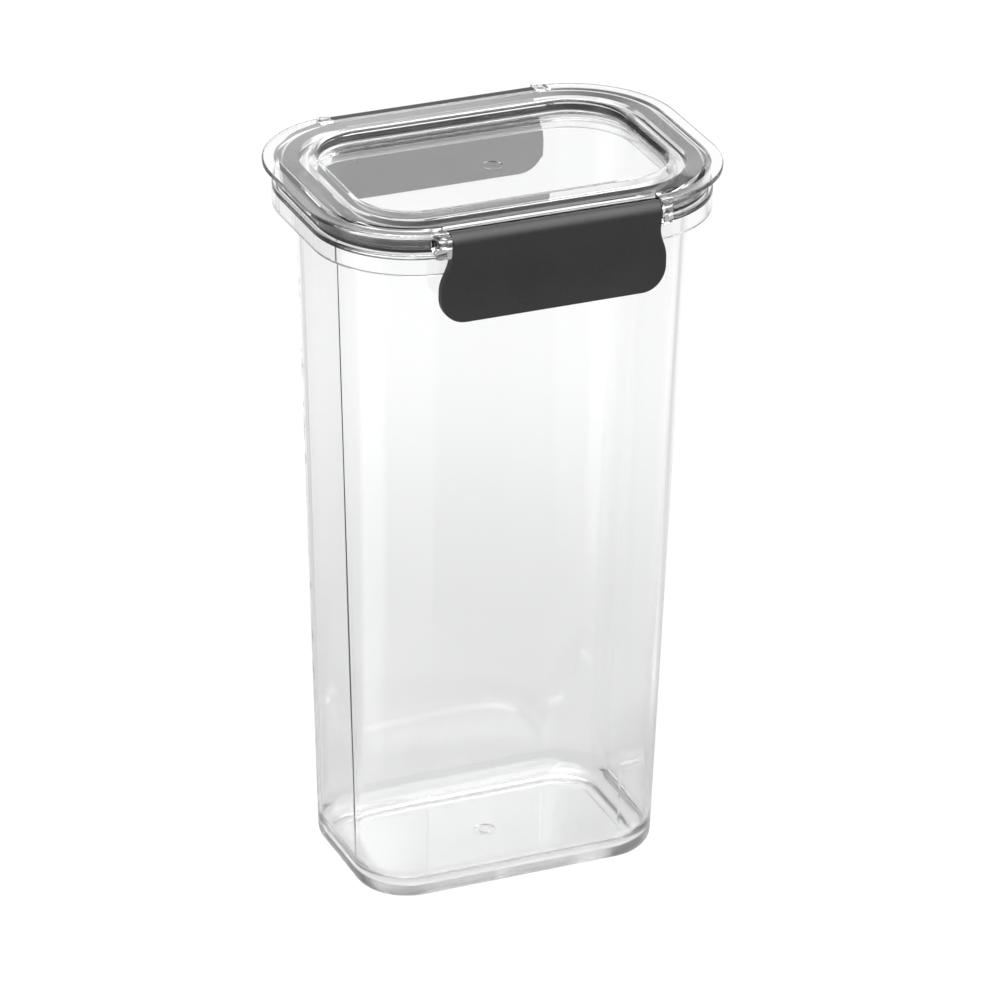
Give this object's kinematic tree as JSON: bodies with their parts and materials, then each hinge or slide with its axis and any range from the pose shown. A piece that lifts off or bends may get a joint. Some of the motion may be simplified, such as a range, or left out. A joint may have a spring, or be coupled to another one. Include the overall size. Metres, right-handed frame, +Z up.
{
  "type": "clip-top storage canister",
  "caption": "Tall rounded-rectangular clear storage canister with a clear recessed lid, a dark sealing ring and hinged dark side latches that hook under the brim.",
  "frame": {"origin": "middle of the base, on the plane that the canister stands on", "axes": "+Z up through the lid, X along the long side, the two latches facing -Y and +Y"},
  "size_m": [0.1364, 0.1036, 0.24],
  "materials": {
    "clear_plastic": "polished clear moulding",
    "clear_lid_plastic": "polished clear moulding",
    "gasket_rubber": "smooth dark grey silicone",
    "latch_plastic": "fine matt moulded grain, dark grey"
  },
  "bodies": {
    "canister": {"canister_body": "clear_plastic"},
    "lid": {"lid": "clear_lid_plastic", "lid_gasket": "gasket_rubber"},
    "front_latch": {"front_latch": "latch_plastic"},
    "rear_latch": {"rear_latch": "latch_plastic"}
  },
  "joints": [
    {"name": "lid_lift", "type": "slide", "parent": "canister", "child": "lid", "axis": [0, 0, 1], "range_m": [0, 0.06]},
    {"name": "front_latch_swing", "type": "hinge", "parent": "lid", "child": "front_latch", "pos_m": [0, -0.0482, 0.2352], "axis": [-1, 0, 0], "range_deg": [0, 120]},
    {"name": "rear_latch_swing", "type": "hinge", "parent": "lid", "child": "rear_latch", "pos_m": [0, 0.0482, 0.2352], "axis": [1, 0, 0], "range_deg": [0, 120]}
  ]
}
